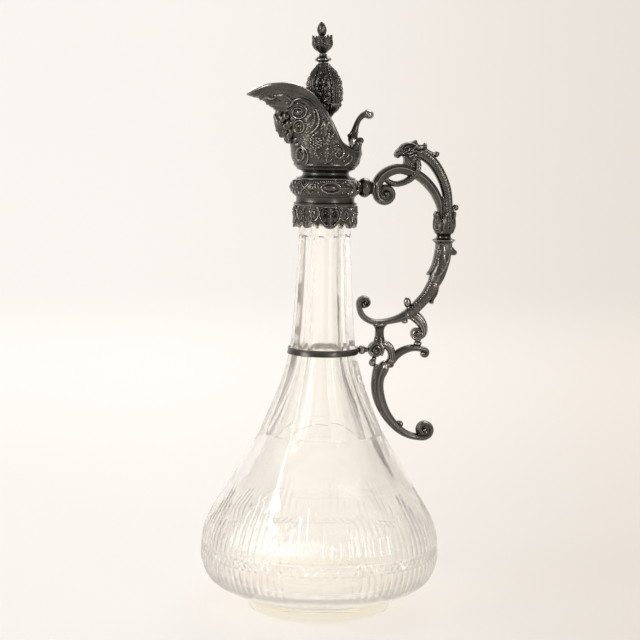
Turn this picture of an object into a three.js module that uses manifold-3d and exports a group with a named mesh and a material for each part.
import * as THREE from "three";
import { mergeVertices } from "three/addons/utils/BufferGeometryUtils.js";
import Module from "manifold-3d";

// A claret jug: a cut-glass bottle with a cast pewter spout, hinged lid and dragon handle.
// Sizes are millimetres. +Z is up, the handle points to +X and the spout to -X.
// The origin is the middle of the flat foot, on the axis of the bottle.

const wasm = await Module();
wasm.setup();

// Fits and facets
const CLEARANCE = 0.3;
const MERGE_DISTANCE = 1e-3;
const RING_SEGMENTS = 30;
const SMALL_SEGMENTS = 16;

// Glass bottle
const FOOT_RADIUS = 47;
const FOOT_HEIGHT = 6;
const BODY_RADIUS = 78.5;
const BODY_HEIGHT = 39.4;
const SHOULDER_RADIUS = 40.5;
const SHOULDER_HEIGHT = 117;
const NECK_RADIUS = 17;
const PANEL_TOP = 246;
const NECK_PANELS = 10;
const FACETS_PER_PANEL = 4;
const BORE_RADIUS = 8.5;
const BASE_THICKNESS = 14;
const WALL = 5;

// Collar that grips the neck, and the belt above it
const COLLAR_GAP = 5;
const COLLAR_WALL = 1.9;
const CEMENT_THICKNESS = 0.8;
const SKIRT_HEIGHT = 15;
const COVE_HEIGHT = 5.6;
const BELT_RISE = 2.5;
const BELT_HEIGHT = 10.8;
const CABOCHON_RISE = 1.9;
const CABOCHON_HALF_WIDTH = 5.4;
const CABOCHON_HALF_HEIGHT = 3.4;
const THROAT_RADIUS = 14.8;
const THROAT_HEIGHT = 5.2;
const MOUNT_BORE = 9.5;

// Spout bowl
const BOWL_FOOT_RADIUS = 20.2;
const BOWL_RADIUS = 23.3;
const BOWL_HEIGHT = 11.4;
const BOWL_WALL = 1.7;
const BOWL_SEGMENTS = 32;
const CUP_LEVELS = 2;
const FLARE_LEVELS = 5;
const FLARE_LIFT = 0.85;
const FLARE_LEAN = 0.12;
const SEAT_RISE = 11.7;
const SEAT_PLATE = 1.5;
const SEAT_LIP = 4;
const SEAT_OVERLAP = 4;

// Lid, which leans a little towards the spout
const LID_LEAN = THREE.MathUtils.degToRad(3.4);
const LEAN_RISE = 9.7;
const LID_INSET = 6.3;
const LID_FLANGE = 1.7;
const LID_LEDGE = 2.4;
const CAP_HEIGHT = 19.2;
const STEM_RADIUS = 3.3;
const LEAF_CUP_HEIGHT = 9.5;
const BULB_RADIUS = 11.8;
const BULB_HEIGHT = 26;
const ROD_RADIUS = 1.2;
const NUT_RADIUS = 3.6;
const NUT_HEIGHT = 2.4;
const DISC_RADIUS = 4.85;
const DISC_HEIGHT = 5.6;
const CUP_RADIUS = 6.2;
const CUP_HEIGHT = 11.2;
const BUD_RADIUS = 2.7;
const BUD_HEIGHT = 8.6;

// Hinge
const HINGE_INSET = 1.3;
const HINGE_RISE = 6.1;
const PIN_RADIUS = 0.9;
const KNUCKLE_RADIUS = 2.2;
const KNUCKLE_HALF_WIDTH = 2.8;
const LUG_RADIUS = 2.7;
const LUG_WIDTH = 2.2;
const BRACKET_DROP = 12.4;
const BRACKET_THICKNESS = 0.9;
const STRAP_THICKNESS = 1.7;
const STRAP_HALF_WIDTH = 4;
const PAD_REACH = 2;

// Handle
const BOSS_RADIUS = 6.5;
const BOSS_LENGTH = 10.2;
const VOLUTE_REACH = 7.2;
const VOLUTE_DROP = 3.7;
const VOLUTE_RADIUS = 7.3;
const VOLUTE_HALF_DEPTH = 4.9;
const HANDLE_REACH = 56.6;
const CALYX_RADIUS = 7.4;
const CALYX_DROP = 31.8;
const CALYX_HEIGHT = 16.4;
const FLANGE_RADIUS = 7.2;
const FLANGE_HEIGHT = 3;
const RING_RISE = 53.5;
const RING_WIDTH = 4.2;
const RING_THICKNESS = 0.7;
const ROUNDEL_REACH = 18;
const ROUNDEL_RADIUS = 5.9;
const ROUNDEL_HALF_DEPTH = 4.2;
const ARM_VOLUTE_REACH = 10.2;
const ARM_VOLUTE_RISE = 31.8;
const ARM_VOLUTE_RADIUS = 4.5;
const ARM_VOLUTE_HALF_DEPTH = 4.6;
const POST_OFFSET = 2.7;
const POST_RADIUS = 2.6;
const SPIRAL_RADIUS = 3.9;
const SPIRAL_HALF_DEPTH = 3.7;
const BEAD_RADIUS = 2.5;
const BUTTON_RADIUS = 2.7;
const FOOT_VOLUTE_RADIUS = 6.5;

const pewter = new THREE.MeshStandardMaterial({ color: 0x56524c, roughness: 0.45, metalness: 1 });
const steel = new THREE.MeshStandardMaterial({ color: 0x8d8b87, roughness: 0.35, metalness: 1 });
const glass = new THREE.MeshStandardMaterial({ color: 0xe4ebe4, roughness: 0.03, metalness: 0 });
const plaster = new THREE.MeshStandardMaterial({ color: 0xd9d3c5, roughness: 0.9, metalness: 0 });

// Solids: closed geometry in, closed geometry out

function solidOf(geometry) {
  const bare = geometry.clone();
  bare.deleteAttribute("normal");
  bare.deleteAttribute("uv");
  const merged = mergeVertices(bare, MERGE_DISTANCE);
  const corners = merged.index.array;
  const outward = [];
  const inward = [];
  for (let i = 0; i < corners.length; i += 3) {
    const [a, b, c] = [corners[i], corners[i + 1], corners[i + 2]];
    if (a === b || b === c || c === a) continue;
    outward.push(a, b, c);
    inward.push(a, c, b);
  }
  const build = (faces) =>
    new wasm.Manifold(
      new wasm.Mesh({
        numProp: 3,
        vertProperties: merged.attributes.position.array,
        triVerts: new Uint32Array(faces),
      }),
    );
  const made = build(outward);
  return made.volume() > 0 ? made : build(inward);
}

function geometryOf(solid) {
  const mesh = solid.getMesh();
  const corners = new Float32Array(mesh.numVert * 3);
  for (let i = 0; i < mesh.numVert; i += 1) {
    corners.set(mesh.vertProperties.subarray(i * mesh.numProp, i * mesh.numProp + 3), i * 3);
  }
  const geometry = new THREE.BufferGeometry();
  geometry.setAttribute("position", new THREE.BufferAttribute(corners, 3));
  geometry.setIndex(new THREE.BufferAttribute(new Uint32Array(mesh.triVerts), 1));
  geometry.computeVertexNormals();
  return geometry;
}

const join = (first, ...others) => others.reduce((whole, part) => whole.add(part), first);
const cut = (first, ...others) => others.reduce((rest, tool) => rest.subtract(tool), first);

function piece(name, solid, material) {
  const mesh = new THREE.Mesh(geometryOf(solid), material);
  mesh.name = name;
  return mesh;
}

// A turned shape about Z from a closed or axis-to-axis outline of [radius, height] points.
function turnedGeometry(outline, segments) {
  const points = outline.map(([radius, height]) => new THREE.Vector2(radius, height));
  return new THREE.LatheGeometry(points, segments).rotateX(Math.PI / 2);
}

const turned = (outline, segments) => solidOf(turnedGeometry(outline, segments));

// A turned ring: its outside outline, closed down a plain bore.
function ring(outside, bore, segments = RING_SEGMENTS, extra = 0) {
  const grown = outside.map(([radius, height]) => [radius + extra, height]);
  grown[0][1] -= extra;
  grown[grown.length - 1][1] += extra;
  const top = grown[grown.length - 1][1];
  const bottom = grown[0][1];
  return turned([...grown, [bore, top], [bore, bottom], grown[0]], segments);
}

// A turned shape about a line along X, from [radius, x] points, at a given height.
function turnedAlongX(outline, height) {
  const points = outline.map(([radius, x]) => new THREE.Vector2(radius, x));
  const geometry = new THREE.LatheGeometry(points, SMALL_SEGMENTS).rotateZ(-Math.PI / 2);
  return solidOf(geometry.translate(0, 0, height));
}

// A round button that faces both sides of the handle, with soft edges.
function button(x, z, radius, halfDepth, extra = 0) {
  const r = radius + extra;
  const depth = halfDepth + extra;
  const edge = depth * 0.55;
  const outline = [[0, -depth], [r * 0.72, -depth], [r, -edge], [r, edge], [r * 0.72, depth], [0, depth]];
  const points = outline.map(([px, py]) => new THREE.Vector2(px, py));
  return solidOf(new THREE.LatheGeometry(points, SMALL_SEGMENTS).translate(x, 0, z));
}

function ball(x, z, radiusX, radiusY, radiusZ, extra = 0) {
  const sphere = new THREE.SphereGeometry(1, 10, 6);
  sphere.scale(radiusX + extra, radiusY + extra, radiusZ + extra);
  return solidOf(sphere.translate(x, 0, z));
}

function block(x0, x1, halfWidth, z0, z1) {
  const box = new THREE.BoxGeometry(x1 - x0, halfWidth * 2, z1 - z0);
  return solidOf(box.translate((x0 + x1) / 2, 0, (z0 + z1) / 2));
}

// A bar bent through stations of [x, z, half width, half depth] in the plane y = 0.
function bentBar(stations, extra = 0, stepsPerStation = 2, sides = 8) {
  const path = new THREE.CatmullRomCurve3(stations.map(([x, z]) => new THREE.Vector3(x, 0, z)));
  const last = stations.length - 1;
  const bar = new THREE.CylinderGeometry(1, 1, 1, sides, last * stepsPerStation);
  const at = bar.attributes.position;
  for (let i = 0; i < at.count; i += 1) {
    const way = THREE.MathUtils.clamp(at.getY(i) + 0.5, 0, 1);
    const before = Math.min(Math.floor(way * last), last - 1);
    const blend = way * last - before;
    const halfWidth = THREE.MathUtils.lerp(stations[before][2], stations[before + 1][2], blend) + extra;
    const halfDepth = THREE.MathUtils.lerp(stations[before][3], stations[before + 1][3], blend) + extra;
    const along = path.getTangent(way);
    const centre = path.getPoint(way);
    if (way === 0) centre.addScaledVector(along, -extra);
    if (way === 1) centre.addScaledVector(along, extra);
    const across = at.getX(i) * halfWidth;
    at.setXYZ(i, centre.x - along.z * across, at.getZ(i) * halfDepth, centre.z + along.x * across);
  }
  return solidOf(bar);
}

// Stations moved as one.
function moved(stations, x, z) {
  return stations.map(([stationX, stationZ, ...sizes]) => [stationX + x, stationZ + z, ...sizes]);
}

// Stations moved so that the first and the last land on two points, and those between follow.
function hung(stations, start, end) {
  const last = stations.length - 1;
  const [firstX, firstZ] = stations[0];
  const [lastX, lastZ] = stations[last];
  return stations.map(([x, z, ...sizes], i) => {
    const shiftX = THREE.MathUtils.lerp(start[0] - firstX, end[0] - lastX, i / last);
    const shiftZ = THREE.MathUtils.lerp(start[1] - firstZ, end[1] - lastZ, i / last);
    return [x + shiftX, z + shiftZ, ...sizes];
  });
}

// A point at a distance from a station.
const near = ([x, z], dx, dz) => [x + dx, z + dz];

// Glass bottle

// Outlines of [radius, height]. The neck's radii run over the edges of its flat panels.
const BELLY_OUTLINE = [
  [FOOT_RADIUS + 0.6, FOOT_HEIGHT + 1.8],
  [BODY_RADIUS - 14.7, BODY_HEIGHT - 25],
  [BODY_RADIUS - 5.2, BODY_HEIGHT - 18.6],
  [BODY_RADIUS - 0.5, BODY_HEIGHT - 7.7],
  [BODY_RADIUS, BODY_HEIGHT],
  [BODY_RADIUS - 2.6, BODY_HEIGHT + 15.7],
  [BODY_RADIUS - 15, BODY_HEIGHT + 38.1],
  [BODY_RADIUS - 27.6, BODY_HEIGHT + 59.3],
  [SHOULDER_RADIUS, SHOULDER_HEIGHT - 0.5],
];
const NECK_OUTLINE = [
  [SHOULDER_RADIUS + 0.2, SHOULDER_HEIGHT],
  [NECK_RADIUS + 15.1, SHOULDER_HEIGHT + 20.2],
  [NECK_RADIUS + 10.1, SHOULDER_HEIGHT + 33.5],
  [NECK_RADIUS + 6.4, SHOULDER_HEIGHT + 46.7],
  [NECK_RADIUS + 4.1, SHOULDER_HEIGHT + 60],
  [NECK_RADIUS + 2.2, SHOULDER_HEIGHT + 86.4],
  [NECK_RADIUS + 0.7, SHOULDER_HEIGHT + 112.6],
  [NECK_RADIUS, PANEL_TOP],
];
const COLLAR_BOTTOM = PANEL_TOP + COLLAR_GAP;
const NECK_TOP = COLLAR_BOTTOM + SKIRT_HEIGHT + COVE_HEIGHT - CLEARANCE;
const BELLY_STEPS = 12;
const NECK_STEPS = 8;

function smoothOutline(outline, steps) {
  const curve = new THREE.SplineCurve(outline.map(([r, z]) => new THREE.Vector2(r, z)));
  return curve.getPoints(steps).map((point) => [point.x, point.y]);
}

// The outside radius at a height, along one of the two outlines.
function radiusAt(outline, height) {
  const points = smoothOutline(outline, NECK_STEPS * 4);
  const above = Math.max(1, points.findIndex(([, z]) => z >= height));
  const [r0, z0] = points[above - 1];
  const [r1, z1] = points[above];
  return THREE.MathUtils.mapLinear(height, z0, z1, r0, r1);
}

const neckRadius = (height) => radiusAt(NECK_OUTLINE, height);
const bellyWall = (height, wall) => [radiusAt(BELLY_OUTLINE, height) - wall, height];

// How far a flat panel lies inside the circle through its edges, at an angle round the neck.
function panelShare(angle) {
  const step = (2 * Math.PI) / NECK_PANELS;
  const fromMiddle = THREE.MathUtils.euclideanModulo(angle, step) - step / 2;
  return Math.cos(step / 2) / Math.cos(fromMiddle);
}

function glassBody() {
  const belly = smoothOutline(BELLY_OUTLINE, BELLY_STEPS);
  const neck = smoothOutline(NECK_OUTLINE, NECK_STEPS);
  const hollow = [
    [BORE_RADIUS, NECK_TOP],
    [BORE_RADIUS, PANEL_TOP],
    [BORE_RADIUS + 1.2, SHOULDER_HEIGHT + 73],
    [BORE_RADIUS + 5.5, SHOULDER_HEIGHT + 38],
    [SHOULDER_RADIUS - 2 * WALL, SHOULDER_HEIGHT - 2],
    bellyWall(BODY_HEIGHT + 56, 1.7 * WALL),
    bellyWall(BODY_HEIGHT + 37, 1.2 * WALL),
    bellyWall(BODY_HEIGHT + 17, WALL),
    bellyWall(BODY_HEIGHT, WALL),
    bellyWall(BODY_HEIGHT - 12, 1.4 * WALL),
    bellyWall(BASE_THICKNESS + 5, 2.6 * WALL),
    [FOOT_RADIUS, BASE_THICKNESS + 1],
    [0, BASE_THICKNESS],
  ];
  const outline = [
    [0, 0],
    [FOOT_RADIUS, 0],
    [FOOT_RADIUS, FOOT_HEIGHT],
    ...belly,
    ...neck,
    [NECK_RADIUS, PANEL_TOP + 1.5],
    [NECK_RADIUS, NECK_TOP],
    ...hollow,
  ];
  const firstPanelPoint = 3 + belly.length;
  const lastPanelPoint = firstPanelPoint + neck.length - 1;
  const segments = NECK_PANELS * FACETS_PER_PANEL;
  const points = outline.map(([r, z]) => new THREE.Vector2(r, z));
  const bottle = new THREE.LatheGeometry(points, segments);
  const at = bottle.attributes.position;
  for (let i = 0; i <= segments; i += 1) {
    for (let j = firstPanelPoint; j <= lastPanelPoint; j += 1) {
      const index = i * outline.length + j;
      const share = panelShare((i / segments) * 2 * Math.PI);
      at.setX(index, at.getX(index) * share);
      at.setZ(index, at.getZ(index) * share);
    }
  }
  return solidOf(bottle.rotateX(Math.PI / 2));
}

// Collar stack, from the skirt up to the throat

const CEMENT_BORE = NECK_RADIUS + CLEARANCE;
const COLLAR_BORE = CEMENT_BORE + CEMENT_THICKNESS + CLEARANCE;
const COLLAR_RADIUS = COLLAR_BORE + COLLAR_WALL;
const BELT_RADIUS = COLLAR_RADIUS + BELT_RISE;
const COVE_BOTTOM = COLLAR_BOTTOM + SKIRT_HEIGHT;
const BELT_BOTTOM = COVE_BOTTOM + COVE_HEIGHT;
const THROAT_BOTTOM = BELT_BOTTOM + BELT_HEIGHT;
const BOWL_BOTTOM = THROAT_BOTTOM + THROAT_HEIGHT;
const BELT_MIDDLE = BELT_BOTTOM + BELT_HEIGHT / 2;

const neckCement = () => {
  const radius = CEMENT_BORE + CEMENT_THICKNESS;
  return ring([[radius, COLLAR_BOTTOM + 3], [radius, NECK_TOP]], CEMENT_BORE);
};

const collarSkirt = () => {
  const outside = [
    [COLLAR_RADIUS - 0.5, COLLAR_BOTTOM],
    [COLLAR_RADIUS, COLLAR_BOTTOM + 1],
    [COLLAR_RADIUS, COVE_BOTTOM - 1],
    [COLLAR_RADIUS - 0.5, COVE_BOTTOM],
  ];
  return ring(outside, COLLAR_BORE);
};

const collarCove = () => {
  const outside = [
    [COLLAR_RADIUS - 0.5, COVE_BOTTOM],
    [COLLAR_RADIUS - 0.2, COVE_BOTTOM + 0.9],
    [COLLAR_RADIUS - 1.2, COVE_BOTTOM + 2.4],
    [COLLAR_RADIUS - 1, COVE_BOTTOM + 4.2],
    [COLLAR_RADIUS + 0.2, BELT_BOTTOM],
  ];
  return ring(outside, COLLAR_BORE);
};

const beltRing = (extra = 0) => {
  const outside = [
    [BELT_RADIUS - 2.3, BELT_BOTTOM],
    [BELT_RADIUS - 0.5, BELT_BOTTOM + 2],
    [BELT_RADIUS, BELT_MIDDLE],
    [BELT_RADIUS - 0.5, THROAT_BOTTOM - 2],
    [BELT_RADIUS - 3, THROAT_BOTTOM],
  ];
  const bosses = [0, 1, 2, 3].map((quarter) => {
    const stone = new THREE.SphereGeometry(1, 8, 6);
    stone.scale(CABOCHON_RISE + extra, CABOCHON_HALF_WIDTH + extra, CABOCHON_HALF_HEIGHT + extra);
    stone.translate(BELT_RADIUS - 0.4, 0, BELT_MIDDLE);
    return solidOf(stone.rotateZ((quarter * Math.PI) / 2));
  });
  return join(ring(outside, MOUNT_BORE, RING_SEGMENTS, extra), ...bosses);
};

const throatRing = () => {
  const middle = THROAT_BOTTOM + THROAT_HEIGHT / 2;
  const outside = [
    [BELT_RADIUS - 3.4, THROAT_BOTTOM],
    [THROAT_RADIUS + 0.8, middle - 1.3],
    [THROAT_RADIUS, middle],
    [THROAT_RADIUS + 0.9, middle + 1.3],
    [BOWL_FOOT_RADIUS - 0.4, BOWL_BOTTOM],
  ];
  return ring(outside, MOUNT_BORE);
};

function circlePoint(angle, radius, height) {
  return new THREE.Vector3(radius * Math.cos(angle), radius * Math.sin(angle), height);
}

function mirrored(point) {
  return new THREE.Vector3(point.x, -point.y, point.z);
}

// Spout bowl: a round cup whose rim sweeps up into a pouring lip.
// Half of the rim, from the hinge round to the tip of the lip:
// [degrees from the hinge, reach past the bowl's radius, rise over the bowl's foot].
const RIM = [
  [0, -0.7, 14.8],
  [22.8, -0.6, 13.8],
  [45, -0.4, 13],
  [68.2, -0.7, 17.4],
  [92.3, -0.4, 33.8],
  [119.1, 2.8, 48.1],
  [141.9, 9.1, 53.9],
  [161.7, 19.9, 53.2],
  [180, 28.9, 47.4],
].map(([degrees, reach, rise]) => {
  const angle = THREE.MathUtils.degToRad(degrees);
  return circlePoint(angle, BOWL_RADIUS + reach, BOWL_BOTTOM + rise);
});
const rimCurve = new THREE.CatmullRomCurve3(
  [mirrored(RIM[1]), ...RIM, mirrored(RIM[RIM.length - 2])],
);

function rimPoint(angle) {
  const turnShare = Math.abs(THREE.MathUtils.euclideanModulo(angle + Math.PI, 2 * Math.PI) - Math.PI) / Math.PI;
  const spans = RIM.length + 1;
  const point = rimCurve.getPoint((1 + turnShare * (RIM.length - 1)) / spans);
  return Math.sin(angle) < 0 ? mirrored(point) : point;
}

function bowlPoint(angle, level) {
  const lift = Math.min(level / CUP_LEVELS, 1);
  const swell = Math.sin((lift * Math.PI) / 2);
  const radius = THREE.MathUtils.lerp(BOWL_FOOT_RADIUS, BOWL_RADIUS, swell);
  const height = BOWL_BOTTOM + lift * BOWL_HEIGHT;
  const point = new THREE.Vector3(radius * Math.cos(angle), radius * Math.sin(angle), height);
  if (level <= CUP_LEVELS) return point;
  const rim = rimPoint(angle);
  const bend = point.clone().lerp(rim, FLARE_LEAN);
  bend.z = THREE.MathUtils.lerp(point.z, rim.z, FLARE_LIFT);
  const way = (level - CUP_LEVELS) / FLARE_LEVELS;
  return new THREE.QuadraticBezierCurve3(point, bend, rim).getPoint(way);
}

function bowlSkin(angle, level, offset) {
  const small = 1e-3;
  const point = bowlPoint(angle, level);
  const low = Math.max(level - small, level > CUP_LEVELS ? CUP_LEVELS : 0);
  const high = Math.min(level + small, CUP_LEVELS + FLARE_LEVELS);
  const up = bowlPoint(angle, high).sub(bowlPoint(angle, low));
  const round = bowlPoint(angle + small, level).sub(bowlPoint(angle - small, level));
  return point.addScaledVector(round.cross(up).normalize(), offset);
}

// A closed skin: the lathe is only a carrier, and each of its points is placed by place(angle, index).
function placedLathe(count, place) {
  const carrier = Array.from({ length: count }, (_, j) => new THREE.Vector2(1 + j, j));
  const geometry = new THREE.LatheGeometry(carrier, BOWL_SEGMENTS);
  const at = geometry.attributes.position;
  for (let i = 0; i <= BOWL_SEGMENTS; i += 1) {
    const angle = ((i % BOWL_SEGMENTS) / BOWL_SEGMENTS) * 2 * Math.PI;
    for (let j = 0; j < count; j += 1) {
      const point = place(angle, j);
      at.setXYZ(i * count + j, point.x, point.y, point.z);
    }
  }
  return solidOf(geometry);
}

function spoutBowl() {
  const top = CUP_LEVELS + FLARE_LEVELS;
  const floor = BOWL_BOTTOM + BOWL_WALL;
  const count = 2 * top + 5;
  return placedLathe(count, (angle, j) => {
    if (j <= top) return bowlPoint(angle, j);
    if (j <= 2 * top) return bowlSkin(angle, 2 * top + 1 - j, -BOWL_WALL);
    if (j === 2 * top + 1) return circlePoint(angle, BOWL_FOOT_RADIUS - BOWL_WALL, floor);
    if (j === 2 * top + 2) return circlePoint(angle, MOUNT_BORE, floor);
    if (j === 2 * top + 3) return circlePoint(angle, MOUNT_BORE, BOWL_BOTTOM);
    return bowlPoint(angle, 0);
  });
}

// The bowl filled up to its rim, its skin moved out by offset.
const PLUG_TOP_X = -8;
const PLUG_TOP_RISE = 34.4;

function bowlPlug(offset) {
  const top = CUP_LEVELS + FLARE_LEVELS;
  return placedLathe(top + 3, (angle, j) => {
    if (j === 0) return new THREE.Vector3(0, 0, BOWL_BOTTOM - offset);
    if (j === top + 2) return new THREE.Vector3(PLUG_TOP_X, 0, BOWL_BOTTOM + PLUG_TOP_RISE);
    return bowlSkin(angle, j - 1, offset);
  });
}

const LID_RADIUS = BOWL_RADIUS - LID_INSET;
const DOME_RADIUS = LID_RADIUS - LID_LEDGE;
const SEAT_BORE = LID_RADIUS - SEAT_OVERLAP;
const SEAT_HEIGHT = BOWL_BOTTOM + SEAT_RISE;
const LEAN_HEIGHT = SEAT_HEIGHT + LEAN_RISE;
const leanMatrix = new THREE.Matrix4()
  .makeTranslation(0, 0, LEAN_HEIGHT)
  .multiply(new THREE.Matrix4().makeRotationY(-LID_LEAN))
  .multiply(new THREE.Matrix4().makeTranslation(0, 0, -LEAN_HEIGHT));

// The plate inside the bowl that the lid closes on, leaning as the lid does.
function seatPlate() {
  const bottom = SEAT_HEIGHT - SEAT_PLATE;
  const wide = BOWL_RADIUS + 2;
  const outline = [
    [SEAT_BORE, bottom - SEAT_LIP],
    [SEAT_BORE + SEAT_PLATE, bottom - SEAT_LIP],
    [SEAT_BORE + SEAT_PLATE, bottom],
    [wide, bottom],
    [wide, SEAT_HEIGHT],
    [SEAT_BORE, SEAT_HEIGHT],
    [SEAT_BORE, bottom - SEAT_LIP],
  ];
  const plate = solidOf(turnedGeometry(outline, RING_SEGMENTS).applyMatrix4(leanMatrix));
  return plate.intersect(bowlPlug(-BOWL_WALL - CLEARANCE));
}

// A plain oval boss under the lip, which carries the mask.
const MASK_RISE = 27.9;
const MASK_REACH = 4.7;
const MASK_HALF_HEIGHT = 11.5;
const MASK_HALF_WIDTH = 7;
const MASK_DEPTH = 4.2;
const MASK_SLOPE = THREE.MathUtils.degToRad(22);

function spoutMask() {
  const oval = new THREE.SphereGeometry(1, 16, 10);
  oval.scale(MASK_DEPTH, MASK_HALF_WIDTH, MASK_HALF_HEIGHT);
  oval.rotateY(-MASK_SLOPE);
  oval.translate(-BOWL_RADIUS - MASK_REACH, 0, BOWL_BOTTOM + MASK_RISE);
  return cut(solidOf(oval), bowlPlug(CLEARANCE));
}

// Lid, built upright and leaned by its group

const BORE = ROD_RADIUS + CLEARANCE;
const FLANGE_BOTTOM = SEAT_HEIGHT + CLEARANCE;
const FLANGE_TOP = FLANGE_BOTTOM + LID_FLANGE;
const STEM_TOP = FLANGE_TOP + CAP_HEIGHT;
const LEAF_CUP_BOTTOM = STEM_TOP + CLEARANCE;
const BULB_BOTTOM = LEAF_CUP_BOTTOM + LEAF_CUP_HEIGHT + CLEARANCE;
const BULB_TOP = BULB_BOTTOM + BULB_HEIGHT;
const DISC_BOTTOM = BULB_TOP + CLEARANCE;
const CUP_BOTTOM = DISC_BOTTOM + DISC_HEIGHT + CLEARANCE;
const CUP_TOP = CUP_BOTTOM + CUP_HEIGHT;

const lidCapOutline = [
  [LID_RADIUS, FLANGE_BOTTOM],
  [LID_RADIUS, FLANGE_TOP],
  [DOME_RADIUS, FLANGE_TOP + 0.5],
  [DOME_RADIUS - 3, FLANGE_TOP + 3.8],
  [DOME_RADIUS - 6.2, FLANGE_TOP + 6.6],
  [DOME_RADIUS - 9.4, FLANGE_TOP + 9.8],
  [STEM_RADIUS, FLANGE_TOP + 13],
  [STEM_RADIUS, STEM_TOP],
];

function lidCap(extra = 0) {
  return ring(lidCapOutline, BORE, RING_SEGMENTS, extra);
}

const lidCalyx = () => {
  const outside = [
    [STEM_RADIUS, LEAF_CUP_BOTTOM],
    [STEM_RADIUS + 1, LEAF_CUP_BOTTOM + 1.8],
    [BULB_RADIUS - 3.6, LEAF_CUP_BOTTOM + 5.2],
    [BULB_RADIUS - 0.9, LEAF_CUP_BOTTOM + LEAF_CUP_HEIGHT],
  ];
  return ring(outside, BORE, SMALL_SEGMENTS);
};

const lidBulb = () => {
  const outside = [
    [BULB_RADIUS - 0.7, BULB_BOTTOM],
    [BULB_RADIUS, BULB_BOTTOM + 3],
    [BULB_RADIUS, BULB_BOTTOM + 11],
    [BULB_RADIUS - 1.4, BULB_TOP - 9.4],
    [BULB_RADIUS - 3.3, BULB_TOP - 6],
    [BULB_RADIUS - 5.5, BULB_TOP - 2.8],
    [BULB_RADIUS - 8.2, BULB_TOP],
  ];
  return ring(outside, BORE, SMALL_SEGMENTS);
};

const finialCollar = () => {
  const outside = [
    [DISC_RADIUS - 2.2, DISC_BOTTOM],
    [DISC_RADIUS, DISC_BOTTOM + 2],
    [DISC_RADIUS, DISC_BOTTOM + 3.4],
    [DISC_RADIUS - 2.5, DISC_BOTTOM + DISC_HEIGHT],
  ];
  return ring(outside, BORE, SMALL_SEGMENTS);
};

const finialCup = () => {
  const outside = [
    [CUP_RADIUS - 3.9, CUP_BOTTOM],
    [CUP_RADIUS - 2.4, CUP_BOTTOM + 2.4],
    [CUP_RADIUS - 0.4, CUP_BOTTOM + 6.4],
    [CUP_RADIUS, CUP_TOP - 2.6],
    [CUP_RADIUS - 1.2, CUP_TOP - 0.4],
    [CUP_RADIUS - 3.8, CUP_TOP],
  ];
  return ring(outside, BORE, SMALL_SEGMENTS);
};

const finialBud = () => {
  const bottom = CUP_TOP + CLEARANCE;
  const top = bottom + BUD_HEIGHT;
  const outline = [[0, bottom], [BUD_RADIUS - 0.8, bottom], [BUD_RADIUS, bottom + 3.6], [1.6, top - 1.7], [0, top]];
  return turned(outline, SMALL_SEGMENTS);
};

const finialRod = () => {
  const bottom = FLANGE_BOTTOM - CLEARANCE - NUT_HEIGHT;
  return turned([[0, bottom], [ROD_RADIUS, bottom], [ROD_RADIUS, CUP_TOP], [0, CUP_TOP]], SMALL_SEGMENTS);
};

const finialNut = () => {
  const top = FLANGE_BOTTOM - CLEARANCE;
  return ring([[NUT_RADIUS, top - NUT_HEIGHT], [NUT_RADIUS, top]], BORE, 6);
};

// Hinge, set just inside the back of the rim

const HINGE_X = BOWL_RADIUS - HINGE_INSET;
const HINGE_Z = FLANGE_TOP + HINGE_RISE;

function hingeCylinder(radius, halfWidth) {
  return solidOf(new THREE.CylinderGeometry(radius, radius, 2 * halfWidth, 20).translate(HINGE_X, 0, HINGE_Z));
}

const LUG_INSIDE = KNUCKLE_HALF_WIDTH + CLEARANCE;
const LUG_OUTSIDE = LUG_INSIDE + LUG_WIDTH;
const PIN_BORE = PIN_RADIUS + CLEARANCE;

const hingePin = () => hingeCylinder(PIN_RADIUS, LUG_OUTSIDE);

// Two lugs on a saddle that sits over the back of the rim.
function hingeBracket() {
  const outerFace = BOWL_RADIUS + CLEARANCE + BRACKET_THICKNESS;
  const slotBottom = HINGE_Z - KNUCKLE_RADIUS - CLEARANCE;
  const arch = hingeCylinder(LUG_RADIUS, LUG_OUTSIDE);
  const bottom = HINGE_Z - BRACKET_DROP;
  const cheeks = block(HINGE_X - LUG_RADIUS, outerFace, LUG_OUTSIDE, RIM[0].z - 0.4, HINGE_Z);
  const plate = block(BOWL_RADIUS - BOWL_WALL / 2, outerFace, LUG_OUTSIDE, bottom, slotBottom);
  const slot = block(HINGE_X - 2 * LUG_RADIUS, outerFace + 1, LUG_INSIDE, slotBottom, HINGE_Z + 2 * LUG_RADIUS);
  const mouth = block(HINGE_X - 2 * LUG_RADIUS, RIM[0].x - BOWL_WALL, LUG_INSIDE, bottom, HINGE_Z);
  const body = cut(join(arch, cheeks, plate), slot, mouth, hingeCylinder(PIN_BORE, 2 * LUG_OUTSIDE));
  return cut(body, bowlGrown());
}

// The bowl's own wall, thickened by the clearance on all sides.
function bowlGrown() {
  const outside = bowlPlug(CLEARANCE);
  const inside = bowlPlug(-BOWL_WALL - CLEARANCE);
  return join(cut(outside, inside), rimGuard());
}

// A round bead along the rim that keeps its neighbours off the edge.
function rimGuard() {
  const count = BOWL_SEGMENTS;
  const level = CUP_LEVELS + FLARE_LEVELS;
  const middles = Array.from({ length: count }, (_, i) => {
    return bowlSkin((i / count) * 2 * Math.PI, level, -BOWL_WALL / 2);
  });
  const path = new THREE.CatmullRomCurve3(middles, true);
  const section = new THREE.Shape();
  section.absarc(0, 0, BOWL_WALL / 2 + 1.5 * CLEARANCE, 0, 2 * Math.PI);
  const options = { extrudePath: path, steps: 2 * count, curveSegments: 4 };
  return solidOf(new THREE.ExtrudeGeometry(section, options));
}

const lidCapGrown = () => {
  const grown = geometryOf(lidCap(CLEARANCE));
  return solidOf(grown.applyMatrix4(leanMatrix));
};

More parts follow.
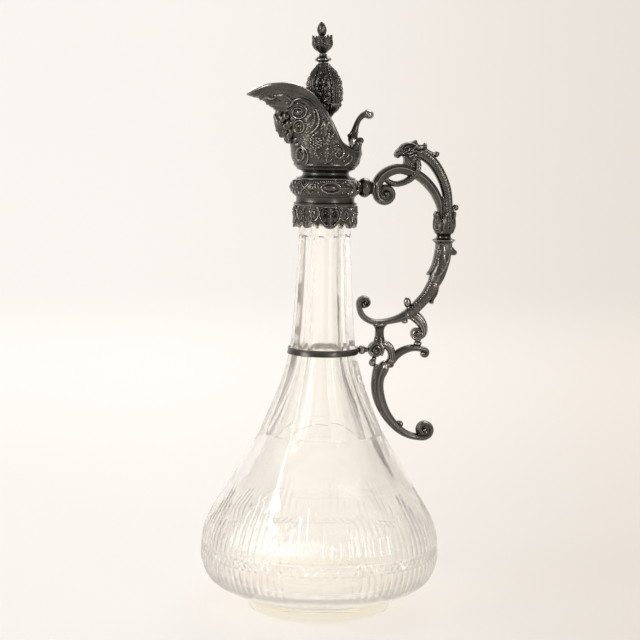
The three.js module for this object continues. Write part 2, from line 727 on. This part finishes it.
// The lid's leaf: a pad on the flange and a strap that reaches back to the middle knuckle.
function lidStrap(extra = 0) {
  const top = HINGE_Z + STRAP_THICKNESS / 2 + extra;
  const bottom = HINGE_Z - STRAP_THICKNESS / 2 - extra;
  const padBottom = FLANGE_TOP + CLEARANCE;
  const padEnd = LID_RADIUS + 0.8;
  const pad = block(LID_RADIUS - PAD_REACH, padEnd, STRAP_HALF_WIDTH + extra, padBottom, top);
  const strap = block(LID_RADIUS - PAD_REACH / 2, HINGE_X, KNUCKLE_HALF_WIDTH + extra, bottom, top);
  const knuckle = hingeCylinder(KNUCKLE_RADIUS + extra, KNUCKLE_HALF_WIDTH + extra);
  return cut(join(pad, strap, knuckle), hingeCylinder(PIN_BORE, 2 * STRAP_HALF_WIDTH), lidCapGrown());
}

// The thumb lever's stations, from the hinge's axis.
const THUMB = [
  [-5.1, 0.2, 2.3, 3],
  [-4.3, 4, 2, 2.5],
  [-2.8, 8.2, 1.7, 2.2],
  [-1.1, 13, 1.5, 2.6],
  [2.2, 17.2, 1.6, 3.6],
  [6.6, 17.8, 1.7, 4.2],
];

function thumbpiece() {
  const stations = moved(THUMB, HINGE_X, HINGE_Z);
  const [footX, footZ] = stations[0];
  const [tipX, tipZ] = stations[stations.length - 1];
  const lever = join(bentBar(stations), ball(footX, footZ + 1, 2.6, 3.4, 1.9), ball(tipX, tipZ, 2, 4, 1.9));
  return cut(lever, lidStrap(CLEARANCE), lidCapGrown());
}

// Handle. Each run of stations is [x, z, half width, half depth]; the points that it hangs from follow it.

const BOSS_END = BELT_RADIUS + BOSS_LENGTH;
const VOLUTE_X = BOSS_END + VOLUTE_REACH;
const VOLUTE_Z = BELT_MIDDLE - VOLUTE_DROP;
const CALYX_X = BELT_RADIUS + HANDLE_REACH;
const CALYX_BOTTOM = BELT_MIDDLE - CALYX_DROP;
const CALYX_TOP = CALYX_BOTTOM + CALYX_HEIGHT;
const ARM_TOP = CALYX_BOTTOM - FLANGE_HEIGHT - 2 * CLEARANCE;
const RING_HEIGHT = SHOULDER_HEIGHT + RING_RISE;
const RING_BOTTOM = RING_HEIGHT - RING_WIDTH / 2;
const RING_TOP = RING_HEIGHT + RING_WIDTH / 2;
const ROUNDEL_X = NECK_RADIUS + ROUNDEL_REACH;
const ARM_VOLUTE_X = NECK_RADIUS + ARM_VOLUTE_REACH;
const ARM_VOLUTE_Z = RING_HEIGHT + ARM_VOLUTE_RISE;

// From the calyx up and over to the volute.
const SCROLL_BAND = [
  [0, 0, 1.6, 3.8],
  [-1.2, 6.4, 2.7, 4.2],
  [-4.1, 12.2, 3, 4.6],
  [-7.7, 16.8, 3.2, 4.8],
  [-13.2, 21.8, 3.3, 5],
  [-19.9, 25.4, 3.3, 5.2],
  [-28.3, 27.5, 3.2, 5.2],
  [-34.9, 25.7, 3.1, 5],
  [-39.5, 21.4, 2.9, 4.8],
  [-41.5, 15.6, 2.6, 4.6],
  [-40.9, 9.8, 2.2, 4.4],
];
const scrollBand = hung(SCROLL_BAND, [CALYX_X - 2.9, CALYX_TOP + 0.6], [VOLUTE_X - 4.6, VOLUTE_Z - 1.3]);
const scrollCrown = scrollBand[6];

// The tail crosses under the crown of the band, from its outer side to its inner side.
const TAIL_BAND = [
  [0, 0, 1.9, 4.4],
  [-5, -3.6, 1.8, 4.2],
  [-9.6, -6.1, 1.7, 4],
  [-14.4, -7, 1.7, 4],
  [-19, -5.6, 1.7, 3.9],
  [-22.4, -2.8, 1.6, 3.8],
];
const tailBand = hung(TAIL_BAND, near(scrollBand[5], 4, -1), near(scrollBand[8], 1.2, 0.2));

function handleScroll(extra = 0) {
  const volute = button(VOLUTE_X, VOLUTE_Z, VOLUTE_RADIUS, VOLUTE_HALF_DEPTH, extra);
  return join(bentBar(scrollBand, extra), bentBar(tailBand, extra), volute);
}

function handleBoss() {
  const start = BELT_RADIUS - 2;
  const ballX = (BELT_RADIUS + BOSS_END) / 2 - 0.9;
  const outline = [
    [0, start],
    [BOSS_RADIUS - 2.3, start],
    [BOSS_RADIUS - 2.3, ballX - 3.4],
    [BOSS_RADIUS - 0.7, ballX - 2.2],
    [BOSS_RADIUS, ballX],
    [BOSS_RADIUS - 1, ballX + 2.4],
    [BOSS_RADIUS - 2.9, ballX + 3.3],
    [BOSS_RADIUS - 1, ballX + 4.1],
    [BOSS_RADIUS - 1, BOSS_END - 0.8],
    [BOSS_RADIUS - 2.3, BOSS_END],
    [0, BOSS_END],
  ];
  return cut(turnedAlongX(outline, BELT_MIDDLE), beltRing(CLEARANCE), handleScroll(CLEARANCE));
}

// The head's outline, from the crown of the band: throat, jaw, mouth, snout, brow, horn, neck.
const DRAGON = [
  [1, 0.8],
  [2.8, 6.1],
  [1, 8.2],
  [-1.5, 7.2],
  [-3.1, 9.4],
  [-1, 12.1],
  [1.8, 15.8],
  [6.2, 17.2],
  [10.6, 18.4],
  [12.4, 15.7],
  [17, 16.6],
  [18, 12.9],
  [14.2, 5.7],
  [11.8, 0.8],
];
const DRAGON_HALF_DEPTH = 4.6;
const DRAGON_EDGE = 1.2;

function dragonHead(extra = 0) {
  const outline = moved(DRAGON, scrollCrown[0], scrollCrown[1]);
  const face = new THREE.Shape(outline.map(([x, z]) => new THREE.Vector2(x, z)));
  const options = {
    depth: 2 * (DRAGON_HALF_DEPTH - DRAGON_EDGE),
    bevelThickness: DRAGON_EDGE + extra,
    bevelSize: DRAGON_EDGE / 2 + extra,
    bevelOffset: -DRAGON_EDGE / 2,
    bevelSegments: 1,
  };
  const head = new THREE.ExtrudeGeometry(face, options).translate(0, 0, DRAGON_EDGE - DRAGON_HALF_DEPTH);
  return cut(solidOf(head.rotateX(Math.PI / 2)), handleScroll(CLEARANCE));
}

// The mane runs from the back of the head down to the calyx, with one loose lock and a curl.
const MANE = [
  [0, 0, 3.7, 4.2],
  [6.1, -4.1, 3.8, 4.8],
  [10.6, -9.4, 3.6, 4.8],
  [14.9, -17, 3.4, 4.6],
  [17.3, -23.9, 3.3, 4.4],
  [18.6, -30.9, 3, 4.2],
  [19, -37.3, 2.6, 4],
];
const MANE_LOCK = [
  [2.4, 2, 1.5, 2.2],
  [6.6, 1.2, 1.3, 2],
  [11, 0.2, 1.7, 2],
];
const MANE_CURL_RADIUS = 2.3;

function dragonMane() {
  const stations = hung(MANE, near(scrollCrown, 14.8, 9.9), [CALYX_X + 2.6, CALYX_TOP + 0.7]);
  const [curlX, curlZ] = near(stations[stations.length - 1], 4.2, 2);
  const lock = bentBar(moved(MANE_LOCK, stations[0][0], stations[0][1]));
  const curl = ball(curlX, curlZ, MANE_CURL_RADIUS, MANE_CURL_RADIUS, MANE_CURL_RADIUS);
  const mane = join(bentBar(stations), lock, curl);
  return cut(mane, dragonHead(CLEARANCE), handleScroll(CLEARANCE), handleCalyx(CLEARANCE));
}

function handleCalyx(extra = 0) {
  const radius = CALYX_RADIUS + extra;
  const outline = [
    [0, CALYX_BOTTOM - extra],
    [radius - 2.4, CALYX_BOTTOM - extra],
    [radius - 0.8, CALYX_BOTTOM + CALYX_HEIGHT / 4],
    [radius, CALYX_BOTTOM + CALYX_HEIGHT / 2],
    [radius - 0.5, CALYX_TOP + extra],
    [0, CALYX_TOP + extra],
  ];
  const cup = turnedGeometry(outline, SMALL_SEGMENTS);
  return solidOf(cup.translate(CALYX_X, 0, 0));
}

function calyxFlange(extra = 0) {
  const top = CALYX_BOTTOM - CLEARANCE + extra;
  const bottom = CALYX_BOTTOM - CLEARANCE - FLANGE_HEIGHT - extra;
  const radius = FLANGE_RADIUS + extra;
  const disc = turnedGeometry([[0, bottom], [radius, bottom], [radius, top], [0, top]], SMALL_SEGMENTS);
  return solidOf(disc.translate(CALYX_X, 0, 0));
}

// The lower arm, from the calyx in towards the neck, where it curls up into a volute.
const ARM = [
  [0, 0, 5.5, 5],
  [-0.4, -7.8, 5.4, 5.2],
  [-1.7, -14.2, 5.3, 5.2],
  [-4.3, -22.6, 4.9, 5.2],
  [-7.1, -29, 4.2, 5.2],
  [-10.8, -35.1, 3.9, 5],
  [-16.2, -41.3, 3.8, 4.8],
  [-21.9, -46.6, 3.6, 4.8],
  [-27.8, -49.8, 2.8, 4.6],
  [-33.8, -51.6, 2.2, 4.5],
  [-39.2, -52.6, 2, 4.4],
  [-44.7, -52.9, 2.1, 4.3],
  [-50, -51.2, 2, 4.2],
  [-54.1, -47.7, 2, 4.2],
  [-55.8, -43.3, 1.8, 4.1],
];
const arm = hung(ARM, [CALYX_X + 0.2, ARM_TOP], [ARM_VOLUTE_X - 3.4, ARM_VOLUTE_Z - 4]);

function handleArm(extra = 0) {
  const volute = button(ARM_VOLUTE_X, ARM_VOLUTE_Z, ARM_VOLUTE_RADIUS, ARM_VOLUTE_HALF_DEPTH, extra);
  const outerBud = ball(...near(arm[1], 7.2, 1.4), 2.9, 2.9, 2.9, extra);
  const lowerBud = ball(...near(arm[5], 2.6, -4.5), 2, 2, 2.4, extra);
  const upperBud = ball(...near(arm[7], -1.5, 5.2), 2.2, 2.2, 3.1, extra);
  const whole = join(bentBar(arm, extra), volute, outerBud, lowerBud, upperBud);
  return extra > 0 ? whole : cut(whole, calyxFlange(CLEARANCE));
}

// The roundel beside the neck ring, with a strap that wraps over its outer side.
const ROUNDEL_STRAP = [
  [3, 4.5, 2.4, 3.8],
  [7, 3.1, 2.6, 3.8],
  [10.4, -0.1, 2.2, 3.8],
  [11.4, -4.5, 1.9, 3.8],
  [10.2, -8.9, 2, 3.8],
];

function footRoundel(extra = 0) {
  const disc = button(ROUNDEL_X, RING_HEIGHT, ROUNDEL_RADIUS, ROUNDEL_HALF_DEPTH, extra);
  return join(disc, bentBar(moved(ROUNDEL_STRAP, ROUNDEL_X, RING_HEIGHT), extra));
}

// A short baluster between the roundel and the arm.
function handlePost() {
  const bottom = RING_HEIGHT + ROUNDEL_RADIUS - CLEARANCE;
  const top = arm[10][1] - 1;
  const outline = [
    [0, bottom],
    [POST_RADIUS + 2, bottom],
    [POST_RADIUS + 1.6, bottom + 1.9],
    [POST_RADIUS, bottom + 4.3],
    [POST_RADIUS, top - 3.6],
    [POST_RADIUS + 0.8, top],
    [0, top],
  ];
  const post = turnedGeometry(outline, SMALL_SEGMENTS).translate(ROUNDEL_X + POST_OFFSET, 0, 0);
  return cut(solidOf(post), handleArm(CLEARANCE), footRoundel(CLEARANCE));
}

// The foot of the handle, a long scroll below the roundel that ends in a volute.
const FOOT_SCROLL = [
  [4.9, -6.2, 5, 4.2],
  [3.6, -13.7, 4.6, 4.4],
  [2, -18.1, 3.8, 4.5],
  [1.5, -24.1, 3.6, 4.6],
  [2.5, -30.3, 3.5, 4.6],
  [4.8, -37, 3.2, 4.6],
  [8.2, -43.3, 2.9, 4.5],
  [12.6, -48.9, 2.7, 4.4],
  [17.6, -53.6, 2.5, 4.3],
  [23, -56.8, 2.2, 4.2],
  [28.4, -58.6, 2.1, 4.1],
];
const footStations = moved(FOOT_SCROLL, ROUNDEL_X, RING_HEIGHT);
const footEnd = footStations[footStations.length - 1];

function footScroll(extra = 0) {
  const volute = button(...near(footEnd, 5.6, 4.4), FOOT_VOLUTE_RADIUS, 4.6, extra);
  const nub = ball(...near(footStations[8], 0.8, 3.7), 1.9, 1.9, 1.9, extra);
  const bead = ball(...near(footStations[0], -6.6, -2.7), 2.1, 2.1, 2.1, extra);
  const scroll = join(bentBar(footStations, extra), volute, nub, bead);
  return extra > 0 ? scroll : cut(scroll, footRoundel(CLEARANCE));
}

// A side branch of the foot, ending in a round button.
const BRANCH = [
  [10.6, -7.9, 2.4, 3],
  [13.2, -4.1, 2.4, 3.2],
  [16.8, -1.3, 2.2, 3.2],
  [20.8, 0.5, 2.1, 3.2],
  [25, 1.5, 1.9, 3.2],
  [29.3, 1.1, 1.9, 3.1],
  [33, -1.1, 1.9, 3],
];
const branch = moved(BRANCH, ROUNDEL_X, RING_HEIGHT);
const branchEnd = near(branch[branch.length - 1], 1.2, -2.1);

function footBranch(extra = 0) {
  const knob = ball(...branchEnd, BUTTON_RADIUS, BUTTON_RADIUS + 0.2, BUTTON_RADIUS, extra);
  const whole = join(bentBar(branch, extra), knob);
  return extra > 0 ? whole : cut(whole, footRoundel(CLEARANCE), footScroll(CLEARANCE));
}

// A tendril that drops from the arm, curls into a spiral and meets the branch through a bead.
const TENDRIL = [
  [0, 0, 3.4, 3],
  [3.8, -2.8, 3.3, 3.2],
  [7.4, -6.2, 2.7, 3.3],
  [9.3, -10.4, 2.2, 3.4],
  [8.5, -13.8, 2.1, 3.4],
  [5.8, -15.2, 1.9, 3.4],
];
const tendril = hung(TENDRIL, near(arm[7], 0.9, -0.4), near(branchEnd, -4.8, 12.1));
const spiral = near(tendril[tendril.length - 1], -1.5, 2.2);

function handleTendril(extra = 0) {
  const curl = button(...spiral, SPIRAL_RADIUS, SPIRAL_HALF_DEPTH, extra);
  const whole = join(bentBar(tendril, extra), curl);
  return extra > 0 ? whole : cut(whole, handleArm(CLEARANCE));
}

function tendrilBead() {
  const bead = ball(...near(spiral, 0.7, -6), BEAD_RADIUS, BEAD_RADIUS, BEAD_RADIUS);
  return cut(bead, handleTendril(CLEARANCE), footBranch(CLEARANCE));
}

// The band round the glass neck, and the lug that holds the roundel to it.
function neckRing(extra = 0) {
  const inLow = neckRadius(RING_BOTTOM) + CLEARANCE;
  const inHigh = neckRadius(RING_TOP) + CLEARANCE;
  const outline = [
    [inLow, RING_BOTTOM - extra],
    [inLow + RING_THICKNESS + extra, RING_BOTTOM - extra],
    [inHigh + RING_THICKNESS + extra, RING_TOP + extra],
    [inHigh, RING_TOP + extra],
    [inLow, RING_BOTTOM - extra],
  ];
  return turned(outline, NECK_PANELS * FACETS_PER_PANEL);
}

const LUG_STEM_RADIUS = 1.6;

function ringLug() {
  const start = neckRadius(RING_BOTTOM) + CLEARANCE + RING_THICKNESS / 2;
  const end = ROUNDEL_X - ROUNDEL_RADIUS + 2 * CLEARANCE;
  const middle = (start + end) / 2 + 0.4;
  const outline = [
    [0, start],
    [LUG_STEM_RADIUS, start],
    [LUG_STEM_RADIUS, middle - 1.9],
    [LUG_STEM_RADIUS + 0.7, middle],
    [LUG_STEM_RADIUS, middle + 1.9],
    [LUG_STEM_RADIUS, end],
    [0, end],
  ];
  return cut(turnedAlongX(outline, RING_HEIGHT), neckRing(CLEARANCE), footRoundel(CLEARANCE));
}

// Assembly

const jug = new THREE.Group();
jug.add(piece("glass_body", glassBody(), glass));
jug.add(piece("neck_cement", neckCement(), plaster));
jug.add(piece("collar_skirt", collarSkirt(), pewter));
jug.add(piece("collar_cove", collarCove(), pewter));
jug.add(piece("belt_ring", beltRing(), pewter));
jug.add(piece("throat_ring", throatRing(), pewter));
jug.add(piece("spout_bowl", spoutBowl(), pewter));
jug.add(piece("seat_plate", seatPlate(), pewter));
jug.add(piece("spout_mask", spoutMask(), pewter));
jug.add(piece("hinge_bracket", hingeBracket(), pewter));
jug.add(piece("hinge_pin", hingePin(), steel));

const handle = new THREE.Group();
handle.add(piece("handle_boss", handleBoss(), pewter));
handle.add(piece("handle_scroll", cut(handleScroll(), handleCalyx(CLEARANCE)), pewter));
handle.add(piece("dragon_head", dragonHead(), pewter));
handle.add(piece("dragon_mane", dragonMane(), pewter));
handle.add(piece("handle_calyx", handleCalyx(), pewter));
handle.add(piece("calyx_flange", calyxFlange(), pewter));
handle.add(piece("handle_arm", handleArm(), pewter));
handle.add(piece("handle_post", handlePost(), pewter));
handle.add(piece("handle_tendril", handleTendril(), pewter));
handle.add(piece("tendril_bead", tendrilBead(), pewter));
handle.add(piece("foot_roundel", footRoundel(), pewter));
handle.add(piece("foot_scroll", footScroll(), pewter));
handle.add(piece("foot_branch", footBranch(), pewter));
handle.add(piece("neck_ring", neckRing(), pewter));
handle.add(piece("ring_lug", ringLug(), pewter));

const uprightLid = new THREE.Group();
uprightLid.applyMatrix4(leanMatrix);
uprightLid.add(piece("lid_cap", lidCap(), pewter));
uprightLid.add(piece("lid_calyx", lidCalyx(), pewter));
uprightLid.add(piece("lid_bulb", lidBulb(), pewter));
uprightLid.add(piece("finial_collar", finialCollar(), pewter));
uprightLid.add(piece("finial_cup", finialCup(), pewter));
uprightLid.add(piece("finial_bud", finialBud(), pewter));
uprightLid.add(piece("finial_rod", finialRod(), steel));
uprightLid.add(piece("finial_nut", finialNut(), steel));

const lid = new THREE.Group();
lid.add(uprightLid);
lid.add(piece("lid_strap", lidStrap(), pewter));
lid.add(piece("thumbpiece", thumbpiece(), pewter));

const claretJug = new THREE.Group();
claretJug.add(jug, handle, lid);

export default claretJug;
